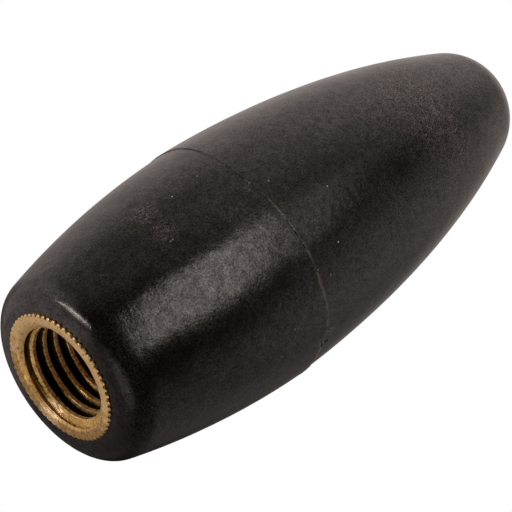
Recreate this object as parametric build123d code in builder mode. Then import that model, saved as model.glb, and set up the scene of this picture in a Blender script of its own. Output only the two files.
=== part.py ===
from build123d import *
import math
import os

# Moulded body, in millimetres. Heights are measured from the bush's end face.
knob_length = 73.0  # end face of the bush to the tip of the nose
mouth_radius = 10.0  # end face of the body, before its corner is rounded
mouth_corner = 2.7  # round between the end face and the side
front_bulge = 0.77  # how far the front side bows out from its chord
seam_height = 24.5  # parting line of the two mould halves
widest_radius = 14.05
widest_rise = 1.35  # parting line to the widest section
side_radius = 145.0  # long arc of the rear side, past the parting line
side_run = 21.0  # widest section to where the side starts to close in
nose_radius = 8.1

# Brass bush and its thread
thread_diameter = 12.0
thread_pitch = 1.5
thread_mouth = 12.2  # diameter of the lead-in cone at the end face
lead_in_angle = 90.0
bore_depth = 18.0  # full-width bore, from the end face
drill_angle = 118.0
bush_wall = 1.25  # root of the thread to the tips of the knurl
bush_floor = 2.0  # metal left past the point of the drill
bush_proud = 0.25  # bush standing out of the body's end face
knurl_teeth = 60
knurl_depth = 0.23
groove_width = 2.5  # ring of moulding that locks the bush in
groove_depth = 0.6
groove_height = 12.0  # middle of the groove

# Sizes of the bush worked out from the thread
minor_radius = thread_diameter / 2 - 5 / 8 * thread_pitch * math.cos(math.radians(30))
bush_radius = thread_diameter / 2 + bush_wall
lead_in_depth = (thread_mouth / 2 - minor_radius) / math.tan(math.radians(lead_in_angle / 2))
drill_point = minor_radius / math.tan(math.radians(drill_angle / 2))
bush_length = bore_depth + drill_point + bush_floor

# The rear side is a three-centred curve: a long arc that is widest a little past the parting line, a
# rounder shoulder arc, and the nose. Each runs into the next with no corner. The shoulder's radius is
# the one that is tangent to both of its neighbours for the given length.
widest_height = seam_height + widest_rise
side_centre = Vector(widest_radius - side_radius, widest_height)
start_angle = math.degrees(math.asin(widest_rise / side_radius))
seam_radius = side_centre.X + side_radius * math.cos(math.radians(start_angle))
side_angle = math.degrees(math.asin(side_run / side_radius))
side_normal = Vector(1, 0).rotate(Axis.Z, side_angle)
shoulder_start = side_centre + side_normal * side_radius
nose_centre = Vector(0, knob_length - nose_radius)
reach = shoulder_start - nose_centre
shoulder_radius = (reach.length**2 - nose_radius**2) / (2 * (reach.dot(side_normal) - nose_radius))
shoulder_centre = shoulder_start - side_normal * shoulder_radius
nose_line = nose_centre - shoulder_centre
nose_angle = math.degrees(math.atan2(nose_line.Y, nose_line.X))

os.makedirs("parts", exist_ok=True)

# Outline of the straight knurl: tips and roots take turns round the bush
knurl_outline = []
for tooth in range(knurl_teeth):
    tip_angle = 360 / knurl_teeth * tooth
    root_angle = tip_angle + 180 / knurl_teeth
    knurl_outline.append(Vector(bush_radius, 0).rotate(Axis.Z, tip_angle))
    knurl_outline.append(Vector(bush_radius - knurl_depth, 0).rotate(Axis.Z, root_angle))

# Outside of the bush: a knurled bar with a locking ring cut round it. The bush and its socket in the
# body are both made from it, so they meet face to face.
with BuildPart() as bush_blank:
    with BuildSketch(Plane.XY):
        with BuildLine():
            Polyline(*knurl_outline, close=True)
        make_face()
    extrude(amount=bush_length)
    with BuildSketch(Plane.XZ):
        with Locations((bush_radius, groove_height)):
            Rectangle(2 * groove_depth, groove_width)
    revolve(axis=Axis.Z, mode=Mode.SUBTRACT)

# The bush is bored at the thread's minor diameter, with a lead-in cone and the cone that the drill left
with BuildPart() as threaded_insert:
    add(bush_blank.part)
    with BuildSketch(Plane.XZ):
        with BuildLine():
            Polyline(
                (0, 0),
                (thread_mouth / 2, 0),
                (minor_radius, lead_in_depth),
                (minor_radius, bore_depth),
                (0, bore_depth + drill_point),
                close=True,
            )
        make_face()
    revolve(axis=Axis.Z, mode=Mode.SUBTRACT)

# One moulding, with a faint edge all round where the two halves of the mould met
with BuildPart() as knob_body:
    with BuildSketch(Plane.XZ) as half_section:
        mouth_edge = Vector(mouth_radius, bush_proud)
        seam_edge = Vector(seam_radius, seam_height)
        chord = seam_edge - mouth_edge
        bowed = mouth_edge + chord / 2 + Vector(chord.Y, -chord.X).normalized() * front_bulge
        with BuildLine():
            Line((0, bush_proud), mouth_edge)
            ThreePointArc(mouth_edge, bowed, seam_edge)
            CenterArc(side_centre, side_radius, -start_angle, start_angle + side_angle)
            CenterArc(shoulder_centre, shoulder_radius, side_angle, nose_angle - side_angle)
            CenterArc(nose_centre, nose_radius, nose_angle, 90 - nose_angle)
            Line((0, knob_length), (0, bush_proud))
        make_face()
        fillet(half_section.vertices().sort_by_distance(mouth_edge)[0], radius=mouth_corner)
    revolve(axis=Axis.Z)
    add(bush_blank.part, mode=Mode.SUBTRACT)

knob_body.part.label = "knob_body"
export_step(knob_body.part, "parts/knob_body.step")

threaded_insert.part.label = "threaded_insert"
export_step(threaded_insert.part, "parts/threaded_insert.step")
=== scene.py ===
"""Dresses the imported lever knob: a black moulded handle with a threaded brass bush in its wide end."""

import math
from functools import partial

import bmesh
import bpy
from bpy.props import FloatProperty, FloatVectorProperty, IntProperty, PointerProperty
from mathutils import Matrix, Vector


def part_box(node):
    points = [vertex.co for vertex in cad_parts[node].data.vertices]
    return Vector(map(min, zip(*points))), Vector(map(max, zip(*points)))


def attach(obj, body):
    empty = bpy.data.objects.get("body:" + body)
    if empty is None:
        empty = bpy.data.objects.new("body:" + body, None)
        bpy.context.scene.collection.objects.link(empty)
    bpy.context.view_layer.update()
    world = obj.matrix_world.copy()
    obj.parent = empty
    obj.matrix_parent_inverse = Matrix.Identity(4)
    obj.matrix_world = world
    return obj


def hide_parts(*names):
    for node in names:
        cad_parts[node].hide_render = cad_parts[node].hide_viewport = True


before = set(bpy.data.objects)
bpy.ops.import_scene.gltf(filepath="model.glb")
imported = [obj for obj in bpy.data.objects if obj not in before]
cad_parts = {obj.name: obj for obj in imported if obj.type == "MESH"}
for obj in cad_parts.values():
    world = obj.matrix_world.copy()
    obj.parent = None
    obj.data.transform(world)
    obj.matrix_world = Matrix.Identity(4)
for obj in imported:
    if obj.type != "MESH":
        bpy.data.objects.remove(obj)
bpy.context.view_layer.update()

bl_info = {
    "name": "Lever Knob",
    "version": (1, 0, 0),
    "blender": (4, 5, 0),
    "location": "3D View > Sidebar > Lever Knob",
    "description": "Moulds a lever knob and turns its threaded brass bush on the packed frame",
    "category": "Mesh",
}

MM = 0.001
BODY_LOW, BODY_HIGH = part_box("knob_body")
BUSH_LOW, BUSH_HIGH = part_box("threaded_insert")

# How finely round shapes are divided: once round, once round the thread, and over a knurl tooth
ROUND_STEPS = 360
THREAD_STEPS = 144
TOOTH_STEPS = 6
# Rows of faces along the parts of the handle's section, from its end face to its nose
FACE_ROWS = 6
CORNER_ROWS = 14
FRONT_ROWS = 32
SEAM_ROWS = 7
SIDE_ROWS = 34
SHOULDER_ROWS = 40
NOSE_ROWS = 26
# Rows of faces over the thread's crest and each flank, and over the worn edge of the bush's mouth
CREST_ROWS = 2
FLANK_ROWS = 4
MOUTH_ROWS = 4
# Vertices nearer than this are doubles
MERGE = 1e-6
# Edges sharper than this many degrees stay crisp
CRISP_ANGLE = 35


def linear(hex_colour):
    """The linear colour of an sRGB hex value."""
    parts = [int(hex_colour[i : i + 2], 16) / 255 for i in (1, 3, 5)]
    return tuple(c / 12.92 if c <= 0.04045 else ((c + 0.055) / 1.055) ** 2.4 for c in parts)


def size(name, millimetres, description):
    """A length that a user can change."""
    return FloatProperty(
        name=name, description=description, default=millimetres * MM, unit="LENGTH", precision=5
    )


def colour(name, hex_colour, description):
    """A colour that a user can change."""
    return FloatVectorProperty(
        name=name, description=description, default=linear(hex_colour), subtype="COLOR", size=3, min=0, max=1
    )


class KnobBodySizes(bpy.types.PropertyGroup):
    """Sizes of the moulded handle. Heights are measured from the bush's end face."""

    mouth_radius: size("Mouth radius", 10.0, "End face, before its corner is rounded")
    mouth_corner: size("Mouth corner", 2.7, "Round between the end face and the side")
    front_bulge: size("Front bulge", 0.77, "How far the front side bows out from its chord")
    seam_height: size("Parting line", 24.5, "Height of the line where the two mould halves met")
    widest_radius: size("Widest radius", 14.05, "Radius at the widest section")
    widest_rise: size("Widest rise", 1.35, "Parting line to the widest section")
    side_radius: size("Side arc", 145.0, "Long arc of the rear side")
    side_run: size("Side run", 21.0, "Widest section to where the side starts to close in")
    nose_radius: size("Nose radius", 8.1, "Round end of the knob")
    flash_height: size("Flash height", 0.025, "Ridge left along the parting line where it was trimmed well")
    flash_width: size("Flash width", 0.16, "Foot of that ridge")
    front_offset: size("Front offset", 0.24, "How far the front mould half lies off the bush's axis")
    rear_offset: size("Rear offset", 0.13, "How far the rear mould half lies off the bush's axis")
    sink: size("Sink", 0.05, "Slow waves that cooling left in the surface")


class KnobBushSizes(bpy.types.PropertyGroup):
    """Sizes of the brass bush and its thread."""

    thread_diameter: size("Thread diameter", 12.0, "Nominal diameter")
    thread_pitch: size("Thread pitch", 1.5, "Height of one turn")
    thread_depth: size("Thread depth", 15.5, "End face to the last full turn")
    thread_start: size("Thread start", 1.2, "Height of the crest's upper edge on the +X side")
    crest_round: size("Crest round", 0.13, "What tapping and use took off the crests' lower corner")
    mouth_diameter: size("Mouth diameter", 12.2, "Lead-in cone at the end face")
    mouth_round: size("Mouth round", 0.5, "Worn edge between the end face and the lead-in cone")
    bore_depth: size("Bore depth", 18.0, "Full-width bore")
    drill_point: size("Drill point", 3.117, "Height of the cone that the drill left")
    knurl_depth: size("Knurl depth", 0.23, "Height of the knurl's teeth")
    rim_break: size("Rim break", 0.12, "Chamfer on the teeth at the end face")
    groove_width: size("Groove width", 2.5, "Ring that the moulding locks into")
    groove_depth: size("Groove depth", 0.6, "Depth of that ring")
    groove_height: size("Groove height", 12.0, "Middle of that ring")
    knurl_teeth: IntProperty(name="Knurl teeth", description="Teeth round the bush", default=60, min=12)


class KnobColours(bpy.types.PropertyGroup):
    """Colours of the two materials and the table."""

    moulding: colour("Moulding", "#0e0d0d", "Black of the handle")
    # The dust colour also paints the corner streak, which is partly a painted highlight
    dust: colour("Dust", "#958a80", "Rubbed and dusty places on the handle")
    speck: colour("Speck", "#c6c3be", "Grains of white dust on the handle")
    brass: colour("Brass", "#ddb45a", "Clean brass")
    oxide: colour("Oxide", "#876227", "Brown bloom on the brass")
    # The end-face colour also paints the worn rim pale, partly as a painted highlight where its glints fall
    face: colour("End face", "#f8daa8", "Dry, pale brass of the end face")
    # The pits colour paints the dark specks on the brass, and also painted shade: the black in the thread's
    # roots and in the nick
    pits: colour("Pits", "#1e140b", "Dark specks and old grease on the brass, and the bottom of the nick")
    floor: colour("Floor", "#f2f1ef", "Studio table")


# Mesh tools


def start_at(name, place):
    """Starts a mesh with one vertex, in edit mode, from a plane merged at its centre."""
    bpy.ops.object.select_all(action="DESELECT")
    bpy.ops.mesh.primitive_plane_add(size=MM, enter_editmode=True, location=(0, 0, 0))
    bpy.ops.mesh.merge(type="CENTER")
    bpy.ops.transform.translate(value=place)
    piece = bpy.context.object
    piece.name = piece.data.name = name
    return piece


def line_by(offset, steps=1):
    """Draws a straight line from the selected vertex."""
    for _ in range(steps):
        bpy.ops.mesh.extrude_region_move(TRANSFORM_OT_translate={"value": Vector(offset) / steps})


def arc_about(centre, turn, steps):
    """Draws an arc from the selected vertex in the XZ plane, turning from +X towards +Z."""
    bpy.ops.mesh.spin(steps=steps, angle=turn, center=centre, axis=(0, 1, 0))


def spin_whole(steps):
    """Spins all that is drawn round the Z axis into a closed skin that faces outwards."""
    bpy.ops.mesh.select_all(action="SELECT")
    bpy.ops.mesh.spin(steps=steps, angle=math.tau, center=(0, 0, 0), axis=(0, 0, 1))
    close_skin()


def close_skin():
    """Merges doubles and turns all faces outwards."""
    bpy.ops.mesh.select_all(action="SELECT")
    bpy.ops.mesh.remove_doubles(threshold=MERGE)
    bpy.ops.mesh.normals_make_consistent(inside=False)


def pick(piece, test):
    """Selects the vertices that pass a test, in edit mode."""
    mesh = bmesh.from_edit_mesh(piece.data)
    for vertex in mesh.verts:
        vertex.select_set(test(vertex.co))
    mesh.select_flush_mode()
    bmesh.update_edit_mesh(piece.data)


def bearing(place):
    """Angle of a place round the Z axis, in degrees from +X."""
    return math.degrees(math.atan2(place.y, place.x)) % 360


def finish_with(piece, kind, **settings):
    """Adds a modifier, sets it and applies it."""
    bpy.ops.object.select_all(action="DESELECT")
    piece.select_set(True)
    bpy.context.view_layer.objects.active = piece
    modifier = piece.modifiers.new(kind.lower(), kind)
    for name, value in settings.items():
        setattr(modifier, name, value)
    bpy.ops.object.modifier_apply(modifier=modifier.name)


def cut_away(piece, cutter):
    """Cuts one closed piece out of another and removes the cutter."""
    finish_with(piece, "BOOLEAN", operation="DIFFERENCE", solver="EXACT", object=cutter)
    bpy.data.meshes.remove(cutter.data)


def smooth(piece):
    """Shades a piece smooth, with its sharp edges left crisp."""
    bpy.ops.object.select_all(action="DESELECT")
    piece.select_set(True)
    bpy.context.view_layer.objects.active = piece
    bpy.ops.object.shade_smooth_by_angle(angle=math.radians(CRISP_ANGLE))


# The bush and the socket that is moulded round it


# A thread's flanks lean by half of 60 degrees
FLANK_ANGLE = math.radians(30)
# The crest's lower corner is rounded in two chords: the shares of its width and height that each takes
CORNER_CHORDS = ((0.6, 0.2), (0.4, 0.8))
# The drilled hole stays this far inside the crests, and the lead-in cone's tool reaches this far past them
DRILL_SLACK = 0.01 * MM
CONE_OVERLAP = 0.2 * MM
# The lead-in cone's rounded edge starts this far past the end face, so the cut leaves no thin sliver
JUST_BELOW = 0.003 * MM


def crest_radius(sizes):
    """The thread's minor radius. The form is 5/8 as deep as the sharp triangle that it is cut from."""
    return sizes.thread_diameter / 2 - 5 / 8 * sizes.thread_pitch * math.cos(FLANK_ANGLE)


def knurled_blank(name, sizes):
    """The outside of the bush as a closed bar: knurled all along, with a ring cut round it."""
    tip = BUSH_HIGH.x
    root = tip - sizes.knurl_depth
    half = math.pi / sizes.knurl_teeth
    chord = root * math.sin(half)
    rise = tip - root * math.cos(half)
    tooth_radius = (chord**2 + rise**2) / (2 * rise)
    centre = tip - tooth_radius
    turn = 2 * math.atan2(chord, root * math.cos(half) - centre)

    blank = start_at(name, (root * math.cos(half), chord, 0))
    bpy.ops.mesh.spin(steps=TOOTH_STEPS, angle=turn, center=(centre, 0, 0), axis=(0, 0, 1))
    bpy.ops.mesh.select_all(action="SELECT")
    bpy.ops.mesh.spin(
        steps=sizes.knurl_teeth, angle=math.tau, center=(0, 0, 0), axis=(0, 0, 1), dupli=True
    )
    bpy.ops.mesh.select_all(action="SELECT")
    bpy.ops.mesh.remove_doubles(threshold=MERGE)
    bpy.ops.mesh.edge_face_add()
    narrow = 1 - sizes.rim_break / tip
    bpy.ops.transform.resize(value=(narrow, narrow, 1))
    line_by((0, 0, sizes.rim_break))
    bpy.ops.transform.resize(value=(1 / narrow, 1 / narrow, 1))
    line_by((0, 0, BUSH_HIGH.z - sizes.rim_break))
    close_skin()
    bpy.ops.object.mode_set(mode="OBJECT")

    floor_radius = tip - sizes.groove_depth
    ring = start_at("locking_ring", (floor_radius, 0, sizes.groove_height - sizes.groove_width / 2))
    line_by((2 * sizes.groove_depth, 0, 0))
    line_by((0, 0, sizes.groove_width))
    line_by((-2 * sizes.groove_depth, 0, 0))
    line_by((0, 0, -sizes.groove_width))
    spin_whole(ROUND_STEPS // 2)
    bpy.ops.object.mode_set(mode="OBJECT")
    cut_away(blank, ring)
    return blank


def thread_plug(sizes):
    """What the tap cut out: a closed bar with the thread's form, a little past the mouth."""
    pitch = sizes.thread_pitch
    minor = crest_radius(sizes)
    depth = sizes.thread_diameter / 2 - minor
    root_flat = pitch / 8
    crest_flat = pitch / 4
    slope = math.tan(FLANK_ANGLE)
    flank = depth * slope
    first = sizes.thread_start - crest_flat - 2 * pitch
    corner = sizes.crest_round

    plug = start_at("thread_plug", (minor, 0, first))
    line_by((0, 0, crest_flat), CREST_ROWS)
    line_by((depth, 0, flank), FLANK_ROWS)
    line_by((0, 0, root_flat))
    line_by((corner - depth, 0, flank - corner * slope), FLANK_ROWS)
    for width, height in CORNER_CHORDS:
        line_by((-width * corner, 0, height * corner * slope))
    bpy.ops.object.mode_set(mode="OBJECT")
    turns = math.ceil((sizes.thread_depth - first) / pitch) + 1
    finish_with(
        plug,
        "SCREW",
        axis="Z",
        angle=math.tau,
        screw_offset=pitch,
        iterations=turns,
        steps=THREAD_STEPS,
        render_steps=THREAD_STEPS,
        use_merge_vertices=True,
        merge_threshold=MERGE,
    )
    bpy.ops.object.mode_set(mode="EDIT")
    for level, above in ((-sizes.rim_break, False), (sizes.thread_depth, True)):
        bpy.ops.mesh.select_all(action="SELECT")
        bpy.ops.mesh.bisect(
            plane_co=(0, 0, level),
            plane_no=(0, 0, 1),
            use_fill=True,
            clear_inner=not above,
            clear_outer=above,
        )
    close_skin()
    bpy.ops.object.mode_set(mode="OBJECT")
    return plug


def drill_plug(sizes, radius):
    """The drilled hole past the last thread, with the cone of the drill's point."""
    overlap = sizes.thread_pitch
    drill = start_at("drill_plug", (0, 0, sizes.thread_depth - overlap))
    line_by((radius, 0, 0))
    line_by((0, 0, sizes.bore_depth - sizes.thread_depth + overlap))
    line_by((-radius, 0, sizes.drill_point))
    spin_whole(THREAD_STEPS)
    bpy.ops.object.mode_set(mode="OBJECT")
    return drill


def lead_in_plug(sizes, inner):
    """The cone that opens the mouth. Its edge at the end face is rounded by use."""
    bend = math.radians(45)
    outer = sizes.mouth_diameter / 2
    edge = outer + sizes.mouth_round * math.tan(bend / 2)
    cone = start_at("lead_in_plug", (0, 0, -sizes.rim_break))
    line_by((edge, 0, 0))
    line_by((0, 0, sizes.rim_break - JUST_BELOW))
    arc_about((edge, 0, sizes.mouth_round - JUST_BELOW), -bend, MOUTH_ROWS)
    deep = edge - sizes.mouth_round * math.sin(bend) - inner
    line_by((-deep, 0, deep))
    line_by((-inner, 0, 0))
    spin_whole(ROUND_STEPS)
    bpy.ops.object.mode_set(mode="OBJECT")
    return cone


class KNOB_OT_turn_bush(bpy.types.Operator):
    """Turns the brass bush, knurls it and taps its thread"""

    bl_idname = "lever_knob.turn_bush"
    bl_label = "Turn the Bush"

    def execute(self, context):
        sizes = context.scene.knob_bush
        crest = crest_radius(sizes)
        bush = knurled_blank("brass_bush", sizes)
        plug = thread_plug(sizes)
        cut_away(bush, lead_in_plug(sizes, crest - CONE_OVERLAP))
        cut_away(bush, plug)
        cut_away(bush, drill_plug(sizes, crest - DRILL_SLACK))
        smooth(bush)
        bush.data.materials.append(tapped_brass(context.scene.knob_colours, sizes))
        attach(bush, "root")
        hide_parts("threaded_insert")
        return {"FINISHED"}


# The moulded handle


# The run on each side of the parting line where rows lie close together
SEAM_RUN = 0.42 * MM
# A vertex counts as lying on a row of cracks or on the flash's crest when it is this near in height, and
# on a column when it is this near in degrees round the Z axis
ROW_REACH = 0.045 * MM
CREST_REACH = 0.04 * MM
COLUMN_REACH = 0.6
# The rear half of the mould starts this far past the crest of the flash
REAR_START = 0.01 * MM
# How far the vertices of a crack are moved about, to make it ragged
CRACK_RAGGED = 0.02 * MM
# The nick beside the parting line, in millimetres
NICK_PLACE = (12.63, -6.49, 24.84)
NICK_RADIUS = 0.26
NICK_DEPTH = 0.45
# Width of the slow waves in the surface
SINK_SPAN = 14 * MM


def draw_section(sizes):
    """Draws half of the handle's section, from the axis at the mouth round to the tip of the nose."""
    face = BODY_LOW.z
    tip = BODY_HIGH.z
    seam = sizes.seam_height
    side_centre = Vector((sizes.widest_radius - sizes.side_radius, 0, seam + sizes.widest_rise))
    start_angle = math.asin(sizes.widest_rise / sizes.side_radius)
    side_angle = math.asin(sizes.side_run / sizes.side_radius)
    seam_radius = side_centre.x + sizes.side_radius * math.cos(start_angle)
    side_normal = Vector((math.cos(side_angle), 0, math.sin(side_angle)))
    nose_centre = Vector((0, 0, tip - sizes.nose_radius))
    reach = side_centre + side_normal * sizes.side_radius - nose_centre
    shoulder_radius = (reach.length_squared - sizes.nose_radius**2) / (
        2 * (reach.dot(side_normal) - sizes.nose_radius)
    )
    shoulder_centre = nose_centre + reach - side_normal * shoulder_radius
    nose_line = nose_centre - shoulder_centre
    nose_angle = math.atan2(nose_line.z, nose_line.x)

    mouth_edge = Vector((sizes.mouth_radius, 0, face))
    chord = Vector((seam_radius, 0, seam)) - mouth_edge
    outward = Vector((chord.z, 0, -chord.x)).normalized()
    front_radius = (chord.length_squared / 4 + sizes.front_bulge**2) / (2 * sizes.front_bulge)
    front_centre = mouth_edge + chord / 2 + outward * (sizes.front_bulge - front_radius)
    corner_height = face + sizes.mouth_corner
    corner_drop = corner_height - front_centre.z
    corner_reach = math.sqrt((front_radius - sizes.mouth_corner) ** 2 - corner_drop**2)
    corner_centre = Vector((front_centre.x + corner_reach, 0, corner_height))
    corner_angle = math.atan2(corner_drop, corner_reach)
    front_angle = math.atan2(seam - front_centre.z, seam_radius - front_centre.x)

    # Rows lie close together beside the parting line, where the flash and the cracks are
    seam_front = SEAM_RUN / front_radius
    seam_side = SEAM_RUN / sizes.side_radius
    half_flash = sizes.flash_width / 2
    flash_rise = Vector((sizes.flash_height, 0, half_flash))
    flash_fall = Vector((-sizes.flash_height, 0, half_flash))

    body = start_at("moulded_body", (0, 0, face))
    inside_socket = BUSH_HIGH.x - MM
    line_by((inside_socket, 0, 0))
    line_by((corner_centre.x - inside_socket, 0, 0), FACE_ROWS)
    arc_about(corner_centre, math.pi / 2 + corner_angle, CORNER_ROWS)
    arc_about(front_centre, front_angle - corner_angle - seam_front - half_flash / front_radius, FRONT_ROWS)
    arc_about(front_centre, seam_front, SEAM_ROWS)
    line_by(flash_rise)
    line_by(flash_fall)
    arc_about(side_centre, seam_side, SEAM_ROWS)
    side_turn = start_angle + side_angle - seam_side - half_flash / sizes.side_radius
    arc_about(side_centre, side_turn, SIDE_ROWS)
    arc_about(shoulder_centre, nose_angle - side_angle, SHOULDER_ROWS)
    arc_about(nose_centre, math.pi / 2 - nose_angle, NOSE_ROWS)
    return body


# Marks along the parting line: from and to in degrees round the Z axis, height past the line and
# depth in millimetres. What is pushed in is a crack, and what stands out is left-over flash.
SEAM_MARKS = (
    (183, 215, 0.0, -0.09),
    (187, 220, 0.42, -0.05),
    (223, 235, 0.0, 0.02),
    (238, 251, -0.09, -0.06),
    (254, 264, 0.0, 0.02),
    (266, 283, -0.14, -0.03),
    (290, 326, 0.0, 0.03),
    (334, 350, 0.0, 0.03),
)
# How the parting line wanders: degrees round the Z axis, and rise and reach in millimetres
SEAM_WAVES = ((245, -0.6, 9), (193, 0.5, 7), (319, 0.5, 6), (60, 0.4, 12), (130, -0.3, 12))


def cut_marks(body, sizes):
    """Presses the cracks along the parting line in and raises what is left of the flash."""
    crest = sizes.flash_width / 2
    for first, last, past, depth in SEAM_MARKS:
        height = sizes.seam_height + crest + past * MM + math.copysign(crest, past) * (past != 0)
        pick(
            body,
            lambda place: abs(place.z - height) < ROW_REACH
            and first <= bearing(place) <= last
            and math.hypot(place.x, place.y) > sizes.mouth_radius,
        )
        bpy.ops.transform.shrink_fatten(value=depth * MM)
        bpy.ops.transform.vertex_random(offset=CRACK_RAGGED, uniform=1.0, seed=first)


def bend_seam(body, sizes):
    """Lets the parting line wander up and down, and the skin round it follows."""
    crest = sizes.seam_height + sizes.flash_width / 2
    for degrees, rise, width in SEAM_WAVES:
        pick(
            body,
            lambda place: abs(place.z - crest) < CREST_REACH
            and abs(bearing(place) - degrees) < COLUMN_REACH
            and math.hypot(place.x, place.y) > sizes.mouth_radius,
        )
        bpy.ops.transform.translate(
            value=(0, 0, rise * MM),
            use_proportional_edit=True,
            proportional_edit_falloff="SMOOTH",
            proportional_size=width * MM,
        )


def shift_half(body, is_rear, sizes, offset):
    """Moves the outside of one mould half off the bush's axis."""
    clear_of_bush = BUSH_HIGH.x + MM
    rear_start = sizes.seam_height + sizes.flash_width / 2 + REAR_START
    pick(
        body,
        lambda place: (place.z > rear_start) == is_rear
        and (math.hypot(place.x, place.y) > clear_of_bush or place.z > BUSH_HIGH.z),
    )
    bpy.ops.transform.translate(value=(offset, 0, 0))


def nick(body, sizes):
    """A nick beside the parting line, where the flash broke away."""
    spot = Vector(NICK_PLACE) * MM
    pick(body, lambda place: (place - spot).length < NICK_RADIUS * MM)
    bpy.ops.transform.shrink_fatten(value=-NICK_DEPTH * MM)


class KNOB_OT_mould_body(bpy.types.Operator):
    """Moulds the handle round the bush, with the marks that its mould and its use have left"""

    bl_idname = "lever_knob.mould_body"
    bl_label = "Mould the Body"

    def execute(self, context):
        sizes = context.scene.knob_body
        body = draw_section(sizes)
        spin_whole(ROUND_STEPS)
        cut_marks(body, sizes)
        nick(body, sizes)
        shift_half(body, False, sizes, sizes.front_offset)
        shift_half(body, True, sizes, sizes.rear_offset)
        bend_seam(body, sizes)
        bpy.ops.object.mode_set(mode="OBJECT")
        waves = bpy.data.textures.new("slow waves", type="CLOUDS")
        waves.noise_scale = SINK_SPAN
        finish_with(body, "DISPLACE", texture=waves, strength=sizes.sink, mid_level=0.5)
        cut_away(body, knurled_blank("socket", context.scene.knob_bush))
        smooth(body)
        body.data.materials.append(satin_moulding(context.scene.knob_colours, sizes))
        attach(body, "root")
        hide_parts("knob_body")
        return {"FINISHED"}


# Materials


# A step from one value to another with soft ends
SMOOTH = {"interpolation_type": "SMOOTHSTEP"}
# How deep the grain and the tool marks are, and how strongly phenolic resin bends light
BUMP_DEPTH = 0.03 * MM
PHENOLIC_IOR = 1.55
# Directions square to the bush's axis: the side where the oxide is browner, and the one where the painted
# shade in the thread's roots reaches nearest the crests
STAINED_SIDE = (0.5, 0.87, 0)
ROOT_SHADE_SIDE = (-0.77, 0.64, 0)
# Radius of the parting line, near enough for the dust in it, in millimetres
SEAM_REACH = 14.0


def add_node(tree, kind, inputs=(), **settings):
    """Adds a node with its settings. Each input gets a value, an output, or a node's first output."""
    made = tree.nodes.new("ShaderNode" + kind)
    for name, value in settings.items():
        setattr(made, name, value)
    for name, value in inputs.items() if isinstance(inputs, dict) else enumerate(inputs):
        if isinstance(value, bpy.types.Node):
            value = value.outputs[0]
        if isinstance(value, bpy.types.NodeSocket):
            tree.links.new(value, made.inputs[name])
        else:
            made.inputs[name].default_value = value
    return made


def new_material(name):
    """An empty material, and what adds its nodes."""
    material = bpy.data.materials.new(name)
    material.use_nodes = True
    material.node_tree.nodes.clear()
    return material, partial(add_node, material.node_tree)


def scale_of(millimetres):
    """The scale at which a pattern's features have a real size."""
    return 1 / (millimetres * MM)


# Where the handle is rubbed or dusty: place, radius and strength, in millimetres
DUST_PATCHES = (
    ((-8.84, -9.33, 13.5), 2.2, 0.95),
    ((-6.16, -11.24, 12.96), 1.7, 1.0),
    ((-5.17, -12.96, 23.29), 0.9, 0.5),
    ((-3.62, -13.05, 19.94), 2.6, 0.2),
    ((12.3, -7.0, 24.2), 0.9, 1.6),
    ((12.0, -7.6, 26.0), 1.5, 0.6),
    ((-0.2, -11.1, 52.6), 7.5, 0.75),
    ((-4.3, -10.8, 51.8), 7.0, 0.75),
)
# The larger white specks of dust that the photograph shows: place and size, in millimetres
WHITE_SPECKS = (
    ((-8.72, -10.06, 16.91), 0.09),
    ((9.39, -10.23, 20.12), 0.07),
    ((10.96, -8.26, 18.22), 0.07),
    ((4.63, -13.29, 28.86), 0.1),
    ((-0.79, -13.91, 31.35), 0.09),
    ((-4.62, -13.2, 25.81), 0.08),
    ((-11.72, -7.01, 20.68), 0.07),
    ((-9.16, -10.2, 20.87), 0.07),
    ((5.78, -12.88, 24.85), 0.06),
    ((6.99, -12.29, 26.37), 0.07),
    ((-8.66, -9.65, 14.27), 0.05),
    ((-8.40, -9.88, 14.27), 0.05),
    ((-8.34, -9.97, 14.46), 0.05),
    ((-4.92, -11.73, 12.40), 0.05),
    ((-4.93, -11.76, 12.59), 0.05),
    ((-4.95, -11.79, 12.78), 0.05),
    ((-4.2, -10.1, 54.9), 0.06),
    ((-4.9, -10.1, 53.6), 0.06),
    ((-6.6, -9.0, 54.4), 0.07),
    ((-9.4, -7.2, 50.8), 0.06),
)
# Single marks, by their place in millimetres: painted shade in the nick, dust caught thick in the parting
# line, rubbed crests, and a worn rim that is partly a painted highlight
NICK_SHADE = (12.54, -6.45, 24.84)
THICK_SEAM_DUST = (13.4, -4.3, 24.6)
RUBBED_CRESTS = (1.6, 4.9, 4.4)
WORN_AND_HIGHLIT_RIM = (2.4, 5.6, 0.1)
# The pale streak on the mouth's corner, partly wear and partly a painted highlight, by its distance from the
# axis in millimetres
STREAK_AND_HIGHLIGHT_RADIUS = 9.43


def mark(add, place, spot, outside, inside, strength=1.0):
    """A mark round a spot: nothing at the outer distance, full at the inner one. All in millimetres."""
    away = add("VectorMath", (place, Vector(spot) * MM), operation="DISTANCE").outputs["Value"]
    return add("MapRange", (away, outside * MM, inside * MM, 0.0, strength), **SMOOTH)


def speckle(add, place, spacing, radius):
    """Tiny spots, scattered at a spacing, both in millimetres."""
    cells = add("TexVoronoi", {"Vector": place, "Scale": scale_of(spacing)})
    return add("MapRange", (cells, radius / spacing, 0.4 * radius / spacing), **SMOOTH)


def off_axis(add, place):
    """How far a point of the surface is from the knob's axis."""
    flat = add("VectorMath", (place, (1, 1, 0)), operation="MULTIPLY")
    return add("VectorMath", (flat,), operation="LENGTH").outputs["Value"]


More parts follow.
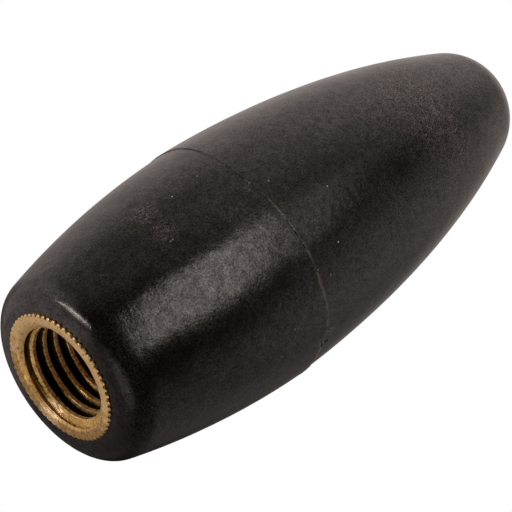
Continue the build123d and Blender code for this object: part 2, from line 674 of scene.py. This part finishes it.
def seam_dust(add, place, sizes):
    """How much dust has caught in the parting line, which wanders as the mesh does."""
    x, _, z = add("SeparateXYZ", (place,)).outputs
    crest = sizes.seam_height + sizes.flash_width / 2
    off = add("Math", (z, crest), operation="SUBTRACT")
    for degrees, rise, width in SEAM_WAVES:
        spot = Matrix.Rotation(math.radians(degrees), 3, "Z") @ Vector((SEAM_REACH, 0, crest / MM))
        bent = mark(add, place, spot, width, 0.0, rise * MM)
        off = add("Math", (off, bent), operation="SUBTRACT")
    off = add("Math", (off,), operation="ABSOLUTE")
    wide = add("MapRange", (x, 2 * MM, 7 * MM, 0.14 * MM, 0.36 * MM), **SMOOTH)
    off = add("Math", (off, wide), operation="DIVIDE")
    gaps = add("TexNoise", {"Vector": place, "Scale": scale_of(0.8), "Detail": 4.0})
    kept = add("MapRange", (x, -4 * MM, 6 * MM, 0.45, 0.9), **SMOOTH)
    thick = mark(add, place, THICK_SEAM_DUST, 3.2, 1.2, 3.2)
    dust = add("MapRange", (off, 1.0, 0.3), **SMOOTH)
    for part in (
        add("MapRange", (gaps, 0.4, 0.6, 0.35, 1.0), **SMOOTH),
        add("Math", (kept, thick), operation="MAXIMUM"),
    ):
        dust = add("Math", (dust, part), operation="MULTIPLY")
    return dust


def worn_and_highlit_streak(add, place):
    """The pale streak that follows the mouth's corner for a part of the way round: partly wear, partly a
    painted highlight where a light's reflection falls.
    """
    x, y, z = add("SeparateXYZ", (place,)).outputs
    off = add("Math", (off_axis(add, place), STREAK_AND_HIGHLIGHT_RADIUS * MM), operation="SUBTRACT")
    off = add("Math", (off,), operation="ABSOLUTE")
    wide = add("MapRange", (x, -7.2 * MM, -3.4 * MM, 0.1 * MM, 0.3 * MM), **SMOOTH)
    off = add("Math", (off, wide), operation="DIVIDE")
    gaps = add("TexNoise", {"Vector": place, "Scale": scale_of(0.3), "Detail": 3.0})
    streak_and_highlight = add("MapRange", (off, 1.0, 0.55), **SMOOTH)
    for part in (
        add("MapRange", (x, -7.8 * MM, -4.6 * MM), **SMOOTH),
        add("MapRange", (x, -2.15 * MM, -2.4 * MM), **SMOOTH),
        add("Math", (y, 0.0), operation="LESS_THAN"),
        add("Math", (z, 2 * MM), operation="LESS_THAN"),
        add("MapRange", (gaps, 0.3, 0.55, 0.3, 1.0), **SMOOTH),
    ):
        streak_and_highlight = add("Math", (streak_and_highlight, part), operation="MULTIPLY")
    return streak_and_highlight


def satin_moulding(colours, sizes):
    """Phenolic resin, compression moulded: near black, with a satin skin, a fine grain and a dusty film."""
    material, add = new_material("satin black phenolic moulding")
    place = add("TexCoord").outputs["Object"]
    x, _, z = add("SeparateXYZ", (place,)).outputs
    # The skin's own grain is too fine to show, so it is drawn as coarse as a pixel of the photograph
    grain = add("TexNoise", {"Vector": place, "Scale": scale_of(0.17)})
    clump = add("TexNoise", {"Vector": place, "Scale": scale_of(0.9), "Detail": 3.0})
    cloud = add("TexNoise", {"Vector": place, "Scale": scale_of(3.5), "Detail": 3.0})

    # A film of dust in fine grains, thicker in clouds and towards the nose, and thin at the mouth
    film = add("MapRange", (grain, 0.38, 0.72), **SMOOTH)
    for part in (
        add("MapRange", (cloud, 0.35, 0.65, 0.015, 0.08), **SMOOTH),
        add("MapRange", (z, 30 * MM, 55 * MM, 1.0, 1.9), **SMOOTH),
        add("MapRange", (z, 0.3 * MM, 1.5 * MM, 0.3, 1.0), **SMOOTH),
    ):
        film = add("Math", (film, part), operation="MULTIPLY")
    # Patches of caught dust: a haze with clustered grains in it
    patches = 0.0
    for spot, radius, strength in DUST_PATCHES:
        patch = mark(add, place, spot, radius, 0.15 * radius, strength)
        patches = add("Math", (patch, patches), operation="MAXIMUM")
    haze = patches
    for part in (
        add("MapRange", (grain, 0.42, 0.64, 0.05, 0.3), **SMOOTH),
        add("MapRange", (clump, 0.35, 0.65, 0.3, 1.6), **SMOOTH),
    ):
        haze = add("Math", (haze, part), operation="MULTIPLY")
    dust = add("Math", (film, haze), operation="ADD")
    # Specks, dust in the parting line and the corner streak are added to the dust; the streak is partly a
    # painted highlight
    for caught, strength in (
        (speckle(add, place, 1.5, 0.09), 0.4),
        (seam_dust(add, place, sizes), 0.4),
        (worn_and_highlit_streak(add, place), 0.1),
    ):
        caught = add("Math", (caught, strength), operation="MULTIPLY")
        dust = add("Math", (dust, caught), operation="MAXIMUM")
    finer, coarser = speckle(add, place, 0.34, 0.09), speckle(add, place, 0.8, 0.11)
    specks = add("Math", (finer, coarser), operation="MAXIMUM")
    for part in (add("MapRange", (clump, 0.42, 0.58), **SMOOTH), patches, 0.8):
        specks = add("Math", (specks, part), operation="MULTIPLY")
    for spot, reach in WHITE_SPECKS:
        dot = mark(add, place, spot, 1.4 * reach, 0.7 * reach, 0.6 + 4 * reach)
        specks = add("Math", (dot, specks), operation="MAXIMUM")
    # Painted shade: the nick is painted dark with the pits colour, and its sheen is taken away below
    nick_shade = mark(add, place, NICK_SHADE, 0.42, 0.3)
    base = add("MixRGB", (dust, (*colours.moulding, 1), (*colours.dust, 1)))
    base = add("MixRGB", (specks, base, (*colours.speck, 1)))
    base = add("MixRGB", (nick_shade, base, (*colours.pits, 1)))

    # The roughness of the skin varies slowly, and is higher where it is dusty
    slow = add("TexNoise", {"Vector": place, "Scale": scale_of(6.0)})
    rough = add("MapRange", (slow, 0.3, 0.7, 0.18, 0.24), **SMOOTH)
    for dulling, strength in ((dust, 0.3), (patches, 0.12)):
        dulling = add("Math", (dulling, strength), operation="MULTIPLY")
        rough = add("Math", (rough, dulling), operation="ADD")

    # The sheen is broken by the grain, more so towards the nose and where dust is caught. It is taken out of
    # the nick as painted shade, and mostly taken off the mouth's corner on the +X side as painted shade, so
    # that no reflection shows there.
    strength = add("MapRange", (z, 22 * MM, 58 * MM, 1.4, 2.2), **SMOOTH)
    stronger = add("Math", (patches, 1.2), operation="MULTIPLY")
    strength = add("Math", (strength, stronger), operation="ADD")
    sheen = add("Math", (grain, 0.5), operation="SUBTRACT")
    sheen = add("Math", (sheen, strength), operation="MULTIPLY")
    sheen = add("Math", (sheen, 0.5), operation="ADD")
    sheen = add("Math", (sheen, 0.05), operation="MAXIMUM")
    fitful = add("TexNoise", {"Vector": place, "Scale": scale_of(0.8), "Detail": 4.0})
    # Painted shade: the sheen is taken off the +X side of the mouth's corner
    shaded_side = add("MapRange", (x, -3 * MM, 0.0, 0.0, 0.78), **SMOOTH)
    shaded_corner = add("MapRange", (z, 3.4 * MM, 2.2 * MM), **SMOOTH)
    corner_shade = add("Math", (shaded_side, shaded_corner), operation="MULTIPLY")
    for part in (
        add("MapRange", (fitful, 0.3, 0.7, 0.75, 1.25), **SMOOTH),
        add("Math", (1.0, nick_shade), operation="SUBTRACT"),
        add("Math", (1.0, corner_shade), operation="SUBTRACT"),
    ):
        sheen = add("Math", (sheen, part), operation="MULTIPLY")

    # Grain of the skin, fine rings that the mould's turned wall left, and slow unevenness
    ringed = add("VectorMath", (place, (0.12, 0.12, 1.0)), operation="MULTIPLY")
    height = 0.0
    for pattern, millimetres, strength in (
        (place, 0.28, 0.42),
        (ringed, 0.14, 0.12),
        (place, 0.9, 0.5),
        (place, 2.4, 1.6),
    ):
        waves = add("TexNoise", {"Vector": pattern, "Scale": scale_of(millimetres)})
        waves = add("Math", (waves, strength), operation="MULTIPLY")
        height = add("Math", (waves, height), operation="ADD")
    bump = add("Bump", {"Strength": 1.0, "Distance": BUMP_DEPTH, "Height": height})
    finish = {"Base Color": base, "Roughness": rough, "Specular IOR Level": sheen, "Normal": bump}
    add("OutputMaterial", (add("BsdfPrincipled", {**finish, "IOR": PHENOLIC_IOR}),))
    return material


def tapped_brass(colours, sizes):
    """Free-machining brass, turned and tapped: golden where it is rubbed, brown with oxide elsewhere, with
    painted shade in the thread's roots.
    """
    material, add = new_material("turned and tapped brass")
    place = add("TexCoord").outputs["Object"]
    _, y, z = add("SeparateXYZ", (place,)).outputs
    crest = crest_radius(sizes)
    mouth = sizes.mouth_diameter / 2
    radius = off_axis(add, place)
    turned = add("CombineXYZ", (radius, z))
    # Oxide in clouds and freckles, and the grit and the tool's lines, both drawn as coarse as they show
    bloom = add("TexNoise", {"Vector": place, "Scale": scale_of(1.2), "Detail": 5.0})
    freckle = add("TexNoise", {"Vector": place, "Scale": scale_of(0.3), "Detail": 4.0})
    grains = add("TexNoise", {"Vector": place, "Scale": scale_of(0.15)})
    lines = add("TexNoise", {"Vector": turned, "Scale": scale_of(0.09)})
    at_face = add("MapRange", (z, 0.1 * MM, 0.02 * MM), **SMOOTH)
    near_face = add("MapRange", (z, 0.9 * MM, 0.75 * MM), **SMOOTH)
    past_crest = add("MapRange", (radius, crest + 0.062 * MM, crest + 0.212 * MM), **SMOOTH)
    at_mouth = add("Math", (near_face, past_crest), operation="MULTIPLY")
    side = add("VectorMath", (place, STAINED_SIDE), operation="DOT_PRODUCT").outputs["Value"]
    stained = add("MapRange", (side, -5 * MM, 5 * MM), **SMOOTH)

    # Brown oxide lies in clouds and freckles, more of it on one side and less of it on the end face
    brown = add("Math", (freckle, 0.6), operation="MULTIPLY")
    brown = add("Math", (bloom, brown), operation="ADD")
    browner = add("MapRange", (stained, 0.0, 1.0, -0.12, 0.14), **SMOOTH)
    brown = add("Math", (brown, browner), operation="ADD")
    brown = add("MapRange", (brown, 0.66, 0.98), **SMOOTH)
    worn = add("MapRange", (radius, mouth + 0.05 * MM, mouth - 0.1 * MM, 1.0, 0.35), **SMOOTH)
    brown = add("Math", (brown, worn), operation="MULTIPLY")
    base = add("MixRGB", (brown, (*colours.brass, 1), (*colours.oxide, 1)))

    # The end face and the mouth are pale and dry, the crests' edges rubbed, and a piece of the rim bare;
    # that rim is also painted pale as a highlight where its glints fall
    clouds = add("Math", (stained, 0.42), operation="MULTIPLY")
    clouds = add("Math", (bloom, clouds), operation="SUBTRACT")
    dry = at_mouth
    for part in (
        add("MapRange", (grains, 0.38, 0.62, 0.45, 1.0), **SMOOTH),
        add("MapRange", (clouds, 0.15, 0.38, 0.2, 1.0), **SMOOTH),
        add("MapRange", (z, 0.05 * MM, 0.4 * MM, 1.0, 0.5), **SMOOTH),
    ):
        dry = add("Math", (dry, part), operation="MULTIPLY")
    on_crest = add("MapRange", (radius, crest + 0.152 * MM, crest + 0.052 * MM), **SMOOTH)
    unfreckled = add("MapRange", (freckle, 0.4, 0.6, 0.8, 0.3), **SMOOTH)
    rubbed = add("Math", (on_crest, unfreckled), operation="MULTIPLY")
    worn_and_highlit_rim = mark(add, place, WORN_AND_HIGHLIT_RIM, 2.0, 0.8, 0.8)
    pale_and_highlit = add("Math", (dry, rubbed), operation="MAXIMUM")
    pale_and_highlit = add("Math", (pale_and_highlit, worn_and_highlit_rim), operation="MAXIMUM")
    base = add("MixRGB", (pale_and_highlit, base, (*colours.face, 1)))
    rings = add("MapRange", (lines, 0.45, 0.65, 0.0, 0.35), **SMOOTH)
    rings = add("Math", (at_face, rings), operation="MULTIPLY")
    base = add("MixRGB", (rings, base, (*colours.oxide, 1)))
    spotted = add("Math", (stained, 0.06), operation="MULTIPLY")
    spotted = add("Math", (freckle, spotted), operation="ADD")
    spotted = add("MapRange", (spotted, 0.58, 0.7, 0.0, 0.8), **SMOOTH)
    base = add("MixRGB", (spotted, base, (*colours.oxide, 1)))

    # Painted shade: the roots of the thread are painted black where shade falls deep in the grooves. It
    # comes nearer to the crests on one side, and little of it is painted on the -Y side.
    toward_root_shade = add("VectorMath", (place, ROOT_SHADE_SIDE), operation="DOT_PRODUCT").outputs["Value"]
    depths = (crest + 0.392 * MM, crest + 0.172 * MM)
    full_at = add("MapRange", (toward_root_shade, 0.5 * MM, 4.5 * MM, *depths), **SMOOTH)
    uneven = add("MapRange", (freckle, 0.3, 0.7, -0.04 * MM, 0.04 * MM), **SMOOTH)
    uneven = add("Math", (radius, uneven), operation="ADD")
    less_near_mouth = add("MapRange", (z, 1.5 * MM, 2.2 * MM, -0.2 * MM, 0.0), **SMOOTH)
    uneven = add("Math", (uneven, less_near_mouth), operation="ADD")
    root_shade = add("MapRange", (uneven, crest + 0.072 * MM, full_at), **SMOOTH)
    for part in (
        add("MapRange", (radius, mouth + 0.2 * MM, mouth + 0.05 * MM), **SMOOTH),
        add("MapRange", (y, -1.5 * MM, 0.0, 0.15, 1.0), **SMOOTH),
        add("MapRange", (z, 0.8 * MM, 1.0 * MM, 0.0, 0.95), **SMOOTH),
    ):
        root_shade = add("Math", (root_shade, part), operation="MULTIPLY")
    base = add("MixRGB", (root_shade, base, (*colours.pits, 1)))
    larger, smaller = speckle(add, place, 1.3, 0.16), speckle(add, place, 0.6, 0.05)
    pits = add("Math", (larger, smaller), operation="MAXIMUM")
    base = add("MixRGB", (pits, base, (*colours.pits, 1)))

    # Oxide and the dry film hide the metal. It is bright where the first crests and the rim are rubbed. The
    # painted shade in the roots is a black metal, so that it shows no sheen.
    polished = add("Math", (worn_and_highlit_rim, 0.8), operation="MULTIPLY")
    polished = add("Math", (mark(add, place, RUBBED_CRESTS, 3.4, 1.8), polished), operation="MAXIMUM")
    metal = add("MapRange", (brown, 0.0, 1.0, 1.0, 0.55), **SMOOTH)
    filmed = add("MapRange", (radius, mouth + 0.1 * MM, mouth - 0.1 * MM, 1.0, 0.4), **SMOOTH)
    metal = add("Math", (metal, filmed), operation="MULTIPLY")
    shown = add("Math", (polished, 0.8), operation="MULTIPLY")
    for part in (root_shade, shown):
        metal = add("Math", (metal, part), operation="MAXIMUM")
    rough = add("MapRange", (bloom, 0.35, 0.65, 0.27, 0.42), **SMOOTH)
    for part, strength in ((at_face, 0.1), (root_shade, 0.3), (polished, -0.05), (worn_and_highlit_rim, -0.1)):
        part = add("Math", (part, strength), operation="MULTIPLY")
        rough = add("Math", (rough, part), operation="ADD")

    # Tool marks: rings on the end face, a ragged mouth, and lines along the cut of the tap
    height = add("Math", (lines, 0.8), operation="MULTIPLY")
    height = add("Math", (height, freckle), operation="ADD")
    ragged = add("TexNoise", {"Vector": place, "Scale": scale_of(0.5), "Detail": 1.0})
    gritty = add("Math", (grains, 0.5), operation="MULTIPLY")
    ragged = add("Math", (ragged, gritty), operation="ADD")
    ragged = add("Math", (ragged, at_mouth), operation="MULTIPLY")
    scored = add("Math", (polished, 2.5), operation="MULTIPLY")
    scored = add("Math", (lines, scored), operation="MULTIPLY")
    for part in (ragged, scored):
        height = add("Math", (height, part), operation="ADD")
    bump = add("Bump", {"Strength": 0.8, "Distance": BUMP_DEPTH, "Height": height})
    finish = {"Base Color": base, "Metallic": metal, "Roughness": rough, "Normal": bump}
    add("OutputMaterial", (add("BsdfPrincipled", finish),))
    return material


# The stage


# The photograph's camera: where it stands, how far it looks up, and how far it is rolled
CAMERA_PLACE = Vector((1.015, -145.51, -81.25)) * MM
CAMERA_RISE = math.radians(37.16)
CAMERA_ROLL = math.radians(55.67)
CAMERA_LENS = 116.6
SENSOR = 36.0
CAMERA_CLIP = 0.01
CAMERA_TURN = Matrix.Rotation(math.pi / 2 + CAMERA_RISE, 4, "X") @ Matrix.Rotation(CAMERA_ROLL, 4, "Z")

# The table, and how far under the bush's end face it lies
TABLE_SIZE = 1.6
TABLE_GAP = 0.1 * MM

# The studio. Lights and glows are placed by degrees to the right of the camera and above it.
LIGHT_DISTANCE = 0.6
WARMTH = linear("#fff0ea")
# Softboxes: name, to the right, above, width, height, brightness, roll
SOFTBOXES = (
    ("key softbox", 45.8, 23.5, 25.4, 40, 2.35, 12),
    ("fill softbox", 70, 28, 20, 30, 0.55, 0),
    ("side strip", -57, 2, 25, 6, 12.0, -25),
)
# Glows of the room: to the right, above, spread, brightness
ROOM_GLOWS = (
    (101, 61, 35, 0.27),
    (-89, 49, 60, 0.34),
    (166, 36, 60, 0.67),
    (61, 24, 35, 0.15),
    (38, 68, 26, 0.22),
    (-117, -35, 48, 0.24),
    (0, -85, 55, 0.14),
    (-96, 9, 60, 0.51),
    (106, -6, 35, 0.21),
    (118, -28, 60, 0.22),
    (-60, -42, 34, 0.6),
    (-32, -46, 28, 1.8),
)


def facing(turned, raised):
    """Rotation of something that looks at the knob from a place beside the camera, in degrees."""
    swing = Matrix.Rotation(math.radians(turned), 4, "Y") @ Matrix.Rotation(-math.radians(raised), 4, "X")
    return CAMERA_TURN @ swing


def softbox(name, turned, raised, width, height, level, rolled):
    """A soft light that looks at the knob. Its width and height are the angles that it fills, in degrees."""
    turn = facing(turned, raised) @ Matrix.Rotation(math.radians(rolled), 4, "Z")
    width, height = (2 * LIGHT_DISTANCE * math.tan(math.radians(angle) / 2) for angle in (width, height))
    middle = Vector((0, 0, (BODY_LOW.z + BODY_HIGH.z) / 2))
    place = middle + turn.to_3x3() @ Vector((0, 0, LIGHT_DISTANCE))
    bpy.ops.object.light_add(type="AREA", location=place, rotation=turn.to_euler())
    lamp = bpy.context.object
    lamp.name = lamp.data.name = name
    lamp.data.shape = "RECTANGLE"
    lamp.data.size = width
    lamp.data.size_y = height
    lamp.data.energy = level * math.pi * width * height
    lamp.data.color = WARMTH
    lamp.visible_camera = False


def set_world():
    """White all round for the camera. The knob is lit by soft glows of the room instead."""
    world = bpy.data.worlds.new("studio room")
    bpy.context.scene.world = world
    world.use_nodes = True
    world.node_tree.nodes.clear()
    add = partial(add_node, world.node_tree)
    direction = add("TexCoord").outputs["Generated"]
    level = 0.0
    for turned, raised, spread, strength in ROOM_GLOWS:
        middle = facing(turned, raised).to_3x3() @ Vector((0, 0, 1))
        near = add("VectorMath", (direction, middle), operation="DOT_PRODUCT").outputs["Value"]
        edge = math.cos(math.radians(spread))
        glow = add("MapRange", (near, edge, 1.0, 0.0, strength), **SMOOTH)
        level = add("Math", (glow, level), operation="ADD")
    white = add("Background", {"Color": (1, 1, 1, 1), "Strength": 1.0})
    room = add("Background", {"Color": (*WARMTH, 1), "Strength": level})
    seen = add("LightPath").outputs["Is Camera Ray"]
    add("OutputWorld", {"Surface": add("MixShader", (seen, room, white))})


def one_sided_floor(colours):
    """Matt paint, rolled on: pale and even, and seen from above alone."""
    material, add = new_material("matt pale table paint")
    paint = add("BsdfDiffuse", {"Color": (*colours.floor, 1)})
    clear = add("BsdfTransparent")
    below = add("NewGeometry").outputs["Backfacing"]
    add("OutputMaterial", {"Surface": add("MixShader", (below, paint, clear))})
    return material


class KNOB_OT_set_stage(bpy.types.Operator):
    """Sets the table, the lights and the camera"""

    bl_idname = "lever_knob.set_stage"
    bl_label = "Set the Stage"

    def execute(self, context):
        bpy.ops.object.select_all(action="DESELECT")
        bpy.ops.mesh.primitive_plane_add(size=TABLE_SIZE, location=(0, 0, BUSH_LOW.z - TABLE_GAP))
        floor = bpy.context.object
        floor.name = floor.data.name = "table"
        bpy.ops.object.transform_apply(location=True)
        floor.data.materials.append(one_sided_floor(context.scene.knob_colours))
        floor.visible_diffuse = False
        floor.visible_glossy = False
        floor.visible_transmission = False
        floor.visible_shadow = False
        set_world()
        for light in SOFTBOXES:
            softbox(*light)
        bpy.ops.object.camera_add(location=CAMERA_PLACE, rotation=CAMERA_TURN.to_euler())
        camera = bpy.context.object
        camera.data.lens = CAMERA_LENS
        camera.data.sensor_width = SENSOR
        camera.data.clip_start = CAMERA_CLIP
        context.scene.camera = camera
        context.scene.view_settings.view_transform = "Standard"
        return {"FINISHED"}


class KNOB_PT_sidebar(bpy.types.Panel):
    """Lists the sizes, the colours and the steps of the lever knob"""

    bl_label = "Lever Knob"
    bl_idname = "KNOB_PT_sidebar"
    bl_space_type = "VIEW_3D"
    bl_region_type = "UI"
    bl_category = "Lever Knob"

    def draw(self, context):
        for group in (context.scene.knob_body, context.scene.knob_bush, context.scene.knob_colours):
            box = self.layout.box()
            for name in group.bl_rna.properties.keys():
                if name not in ("rna_type", "name"):
                    box.prop(group, name)
        for step in STEPS:
            self.layout.operator(step.bl_idname)


STEPS = (KNOB_OT_turn_bush, KNOB_OT_mould_body, KNOB_OT_set_stage)
GROUPS = {"knob_body": KnobBodySizes, "knob_bush": KnobBushSizes, "knob_colours": KnobColours}


def register():
    for made in (*GROUPS.values(), *STEPS, KNOB_PT_sidebar):
        bpy.utils.register_class(made)
    for name, group in GROUPS.items():
        setattr(bpy.types.Scene, name, PointerProperty(type=group))


def unregister():
    for name in GROUPS:
        delattr(bpy.types.Scene, name)
    for made in (KNOB_PT_sidebar, *reversed(STEPS), *reversed(GROUPS.values())):
        bpy.utils.unregister_class(made)


def main():
    register()
    bpy.ops.lever_knob.turn_bush()
    bpy.ops.lever_knob.mould_body()
    bpy.ops.lever_knob.set_stage()


if __name__ == "__main__":
    main()
